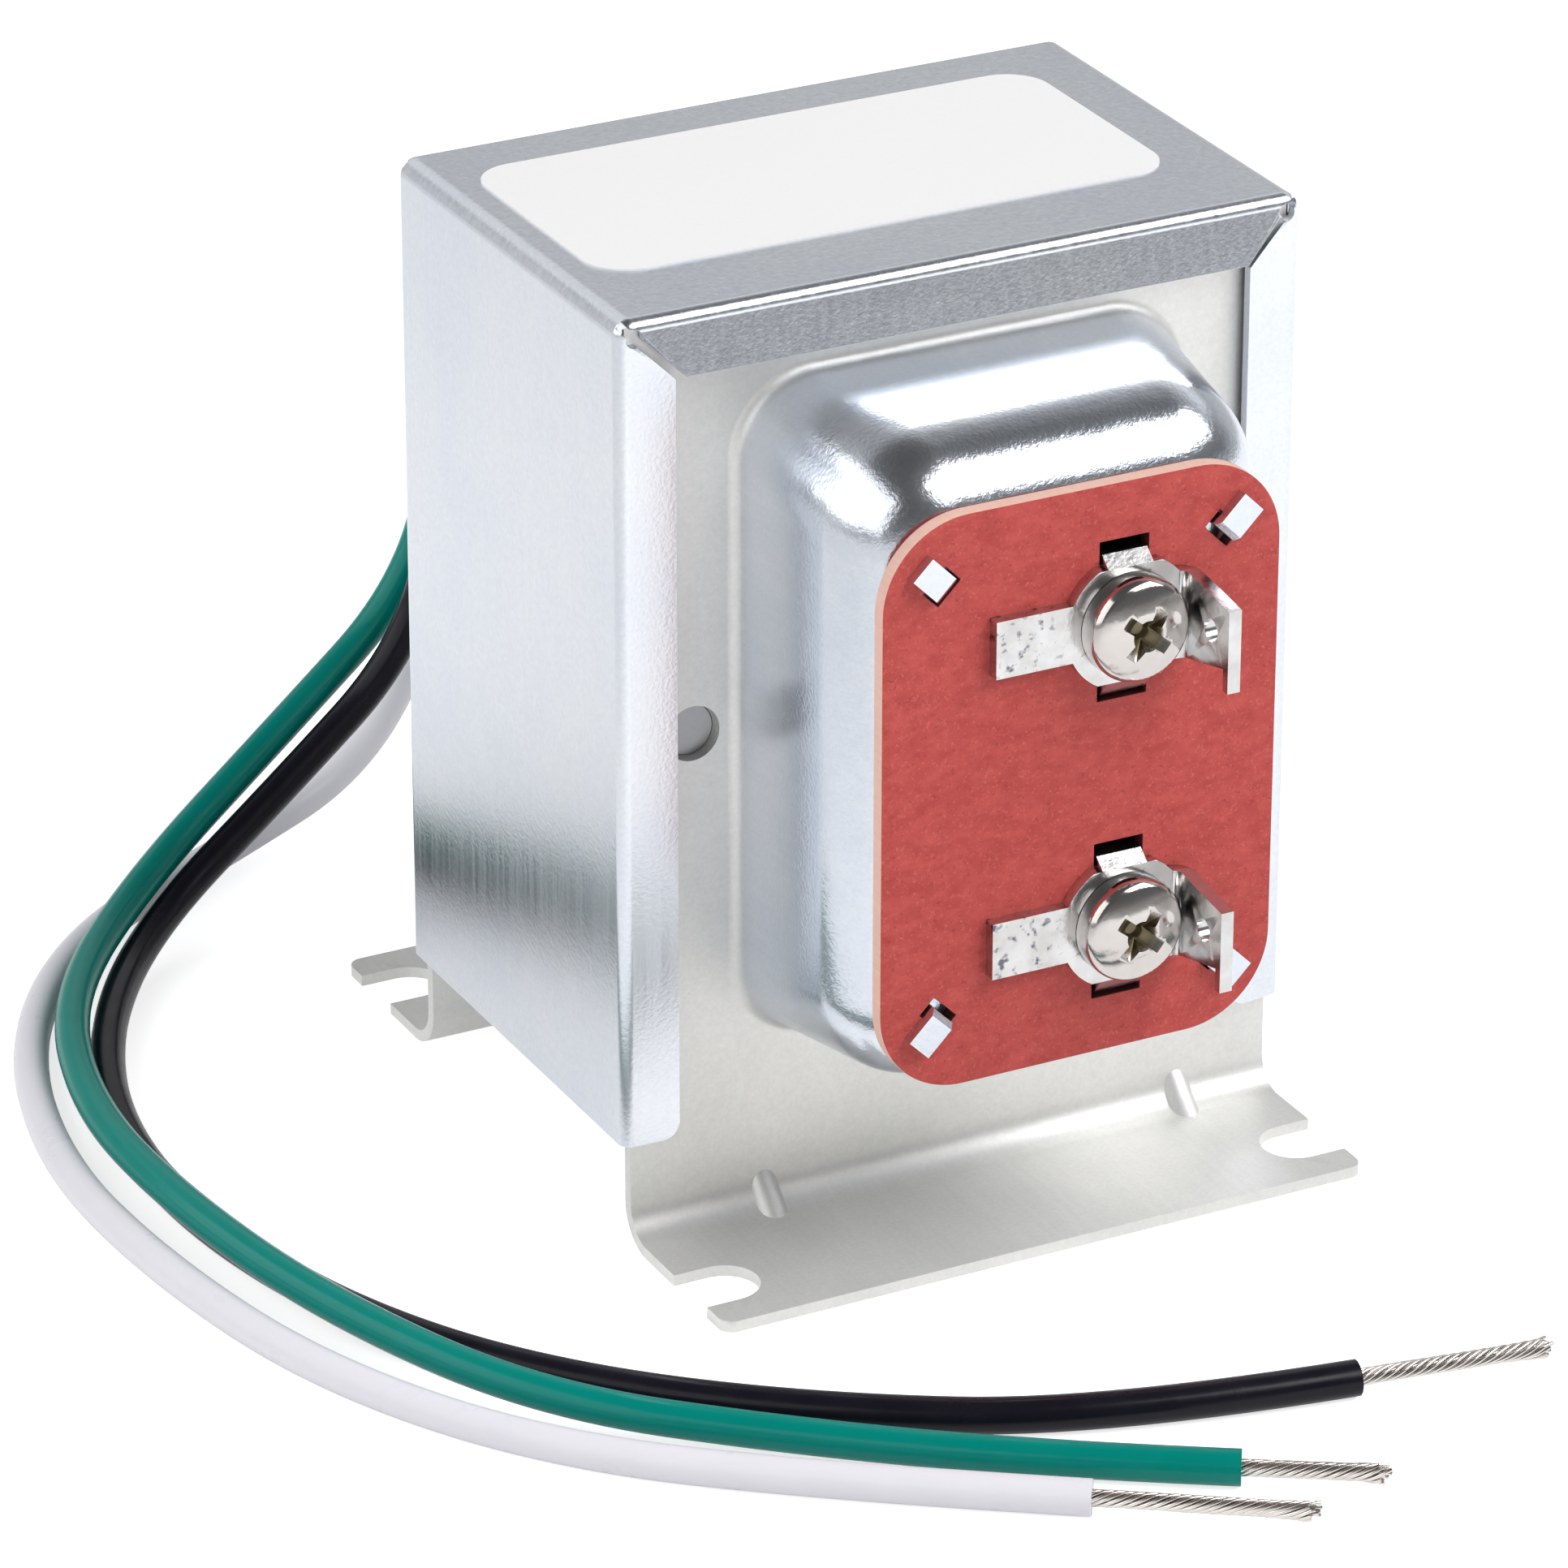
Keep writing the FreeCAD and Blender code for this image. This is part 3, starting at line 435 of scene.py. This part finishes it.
def strand_bundle(name):
    """Twisted tinned strands that loosen towards the cut end."""
    random.seed(name)
    end = Vector(ROUTES[name][-1])
    ahead = (end - Vector(ROUTES[name][-2])).normalized()
    side = ahead.cross(Vector((0, 0, 1))).normalized()
    up = side.cross(ahead)
    curve = bpy.data.curves.new(name + "_bare", "CURVE")
    curve.dimensions = "3D"
    curve.bevel_depth = STRAND_RADIUS * MM
    curve.bevel_resolution = 2
    curve.use_fill_caps = True
    layout = [(radius, i / count) for radius, count in STRAND_LAYERS for i in range(count)]
    for radius, phase in layout:
        length = BARE[name] - random.uniform(0.0, UNEVEN_CUT)
        drift = random.uniform(0.8, 1.25)
        spline = curve.splines.new("POLY")
        spline.points.add(STRAND_STEPS - 1)
        for i in range(STRAND_STEPS):
            t = i / (STRAND_STEPS - 1)
            along = t * length - STRAND_START
            frayed = max(0.0, t - FRAY_FROM) / (1 - FRAY_FROM)
            loose = 1.0 + FRAY * drift * frayed ** 2
            wobble = TWIST_WOBBLE * math.sin(9 * t + 7 * phase)
            angle = 2 * math.pi * (phase + along / TWIST_PITCH) + wobble
            reach = radius * loose * (0.9 + 0.1 * drift)
            place = end + ahead * along + side * (math.cos(angle) * reach) + up * (math.sin(angle) * reach)
            place.z = max(place.z, STRAND_LOWEST)
            spline.points[i].co = (*(place * MM), 1.0)
    bundle = bpy.data.objects.new(name + "_bare", curve)
    scene.collection.objects.link(bundle)
    return bundle


INSULATION = {
    "green": pvc("green_pvc", (0.0, 0.225, 0.185), (0.0, 0.25, 0.21), 0.2),
    "black": pvc("black_pvc", (0.006, 0.005, 0.010), (0.011, 0.010, 0.017), 0.25),
    "white": pvc("white_pvc", (0.82, 0.80, 0.87), (0.86, 0.85, 0.90), 0.3),
}
TINNED_COPPER = clouded_metal("tinned_copper", (0.80, 0.77, 0.74), (0.60, 0.56, 0.53), 0.22, 1.1)
for name in ROUTES:
    wire = lead_curve(name)
    bundle = strand_bundle(name)
    give(INSULATION[name], wire)
    give(TINNED_COPPER, bundle)
    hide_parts(name + "_lead")
    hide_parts(name + "_lead_strands")
    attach(wire, "housing")
    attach(bundle, "housing")


# Sheet metal and stamped pieces with their edges slightly rounded, in millimetres
LIP_BEND = 0.8
SHEET = 0.7
NEAR = 0.05  # still counts as the same face
TOP_SPRING = math.radians(14)
LEFT_SPRING = math.radians(2)
RIGHT_SPRING = math.radians(7)
EAR_DROP = 0.4
SHEET_ROUND = 0.12
BOARD_ROUND = 0.15
SCREW_ROUND = 0.07
WELD = 1e-7  # in metres
FLAT_ANGLE = math.radians(0.05)
ROUNDED_ANGLE = math.radians(35)
CREASE_ANGLE = math.radians(28)
FACE_WEIGHT = 80


def spring_lips(mesh):
    """Lets the hood's lips stand off a little, as folds that sprang back."""
    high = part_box("hood")[1]
    for vert in mesh.verts:
        below = high.z - vert.co.z
        beside = high.x - abs(vert.co.x)
        past_bend = min(below, beside) - LIP_BEND * MM
        side_spring = RIGHT_SPRING if vert.co.x > 0 else LEFT_SPRING
        spring = TOP_SPRING if below < beside else side_spring
        on_lip = abs(vert.co.y) > high.y - (SHEET + NEAR) * MM
        if on_lip and past_bend > 0:
            vert.co.y += math.copysign(math.tan(spring) * past_bend, vert.co.y)


def seat_ear(mesh, node):
    """Presses the upper ear of a terminal down in its slot, where a dark gap shows above it."""
    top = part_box(node)[1].z
    for vert in mesh.verts:
        if vert.co.z > top - NEAR * MM:
            vert.co.z -= EAR_DROP * MM


def softened(node, body, width):
    """Copy of a CAD node that stands for it, with its sharp edges rounded by that width."""
    mesh = bmesh.new()
    mesh.from_mesh(NODES[node].data)
    bmesh.ops.remove_doubles(mesh, verts=mesh.verts, dist=WELD)
    bmesh.ops.dissolve_limit(mesh, angle_limit=FLAT_ANGLE, verts=mesh.verts, edges=mesh.edges)
    if node == "hood":
        spring_lips(mesh)
    if node in ("upper_terminal", "lower_terminal"):
        seat_ear(mesh, node)
    sharp = [e for e in mesh.edges if e.is_manifold and e.calc_face_angle() > ROUNDED_ANGLE]
    bmesh.ops.bevel(mesh, geom=sharp, offset=width * MM, segments=2, profile=0.5, affect="EDGES",
                    clamp_overlap=True)
    bmesh.ops.triangulate(mesh, faces=[f for f in mesh.faces if len(f.verts) > 4])
    for face in mesh.faces:
        face.smooth = True
    data = bpy.data.meshes.new(node + "_soft")
    mesh.to_mesh(data)
    mesh.free()
    data.set_sharp_from_angle(angle=CREASE_ANGLE)
    piece = bpy.data.objects.new(node + "_soft", data)
    scene.collection.objects.link(piece)
    flat = piece.modifiers.new("flat_faces", "WEIGHTED_NORMAL")
    flat.keep_sharp = True
    flat.weight = FACE_WEIGHT
    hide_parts(node)
    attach(piece, body)
    return piece


give(hood_zinc(), softened("hood", "housing", SHEET_ROUND))
give(bell_zinc(), softened("front_bell", "housing", SHEET_ROUND),
     softened("rear_bell", "housing", SHEET_ROUND))
give(fibre_board(), softened("terminal_board", "housing", BOARD_ROUND))
give(tinned_brass(), softened("upper_terminal", "housing", SHEET_ROUND),
     softened("lower_terminal", "housing", SHEET_ROUND))
for word in ("upper", "lower"):
    give(screw_nickel(word), softened(word + "_terminal_screw", word + "_screw", SCREW_ROUND))
give(laminations(), "core_e_stack", "core_i_stack")
give(clouded_metal("pin_steel", (0.35, 0.36, 0.36), (0.5, 0.5, 0.5), 0.4, 1.0), "core_pins")
give(clouded_plastic("bobbin_nylon", (0.80, 0.78, 0.70), (0.84, 0.82, 0.75), 0.5, 2.5), "bobbin")
give(clouded_metal("copper", (0.60, 0.26, 0.12), (0.70, 0.34, 0.18), 0.3, 0.7),
     "primary_winding", "secondary_winding", "upper_secondary_tail", "lower_secondary_tail")
give(clouded_plastic("tape", (0.75, 0.62, 0.28), (0.80, 0.68, 0.34), 0.4, 2.5),
     "primary_wrap", "secondary_wrap")
give(clouded_plastic("black_nylon", (0.012, 0.012, 0.013), (0.02, 0.02, 0.021), 0.45, 1.0), "lead_bushing")
give(paper(), "label")


# Studio, in metres
FLOOR_SIZE = 1.6
FLOOR_GREY = (0.82, 0.82, 0.82)
FLOOR_FOR_CAMERA = 0.72  # added glow that makes the floor white in the picture
FLOOR_FADE = (-0.13, -0.03)  # x over which the mirrored floor fades to the left
FLOOR_MIRRORED = (0.09, 0.42)  # added glow at both ends of the fade
BEHIND = [  # height of a direction, and how bright the studio is there
    (0.0, 0.60), (0.25, 0.56), (0.40, 0.46), (0.45, 0.54), (0.49, 1.0), (0.56, 1.0),
    (0.63, 0.70), (0.74, 0.42), (0.83, 0.26), (0.90, 0.14), (1.0, 0.10),
]
AHEAD = [(0.0, 0.42), (0.05, 0.38), (0.16, 0.17), (0.40, 0.11), (1.0, 0.10)]
SIDES = (-0.25, 0.25)  # y of a direction over which ahead turns into behind
LAMP_AIM = Vector((0, 0, 0.035))


def make_floor():
    """Plain pale floor, white for the camera round the shadow and mirrored darker to the left."""
    bpy.ops.mesh.primitive_plane_add(size=FLOOR_SIZE, location=(0, 0, 0))
    floor = bpy.context.object
    floor.name = "studio_floor"
    finish = Finish("studio_floor")
    finish.set(Base_Color=FLOOR_GREY, Roughness=0.9, Specular_IOR_Level=0.0)
    rays = finish.add("ShaderNodeLightPath").outputs
    camera = finish.math("MULTIPLY", rays["Is Camera Ray"], FLOOR_FOR_CAMERA)
    fade = finish.spread(finish.axes("Object")["X"], *FLOOR_FADE, *FLOOR_MIRRORED)
    mirrored = finish.math("MULTIPLY", rays["Is Glossy Ray"], fade)
    glow = finish.add("ShaderNodeEmission")
    finish.feed(glow.inputs["Strength"], finish.math("ADD", camera, mirrored))
    both = finish.add("ShaderNodeAddShader")
    finish.links.new(finish.shader.outputs[0], both.inputs[0])
    finish.links.new(glow.outputs[0], both.inputs[1])
    finish.links.new(both.outputs[0], finish.nodes["Material Output"].inputs["Surface"])
    give(finish, floor)


def make_world():
    """Studio round the part: bright behind, dark overhead and ahead, and white for the camera."""
    world = Nodes(bpy.data.worlds.new("studio_world"))
    scene.world = world.owner
    direction = world.axes("Generated")
    behind = world.ramp(direction["Z"], BEHIND)
    ahead = world.ramp(direction["Z"], AHEAD)
    around = world.mix(world.spread(direction["Y"], *SIDES), ahead, behind)
    room = world.nodes["Background"]
    world.feed(room.inputs["Color"], around)
    white = world.add("ShaderNodeBackground")
    pick = world.add("ShaderNodeMixShader")
    world.feed(white.inputs["Color"], (1.0, 1.0, 1.0))
    world.feed(pick.inputs[0], world.add("ShaderNodeLightPath").outputs["Is Camera Ray"])
    world.links.new(room.outputs[0], pick.inputs[1])
    world.links.new(white.outputs[0], pick.inputs[2])
    world.links.new(pick.outputs[0], world.nodes["World Output"].inputs["Surface"])


def soft_box(name, place, width, height, power):
    """Rectangular lamp aimed at the part."""
    data = bpy.data.lights.new(name, "AREA")
    data.shape = "RECTANGLE"
    data.size = width
    data.size_y = height
    data.energy = power
    lamp = bpy.data.objects.new(name, data)
    scene.collection.objects.link(lamp)
    lamp.location = place
    aim = LAMP_AIM - Vector(place)
    lamp.rotation_euler = aim.to_track_quat("-Z", "Y").to_euler()


make_floor()
make_world()
soft_box("front_box", (0.497, -0.515, 0.735), 0.85, 0.50, 8.1)
soft_box("left_box", (-0.94, 0.02, 0.60), 2.0, 0.95, 8.5)
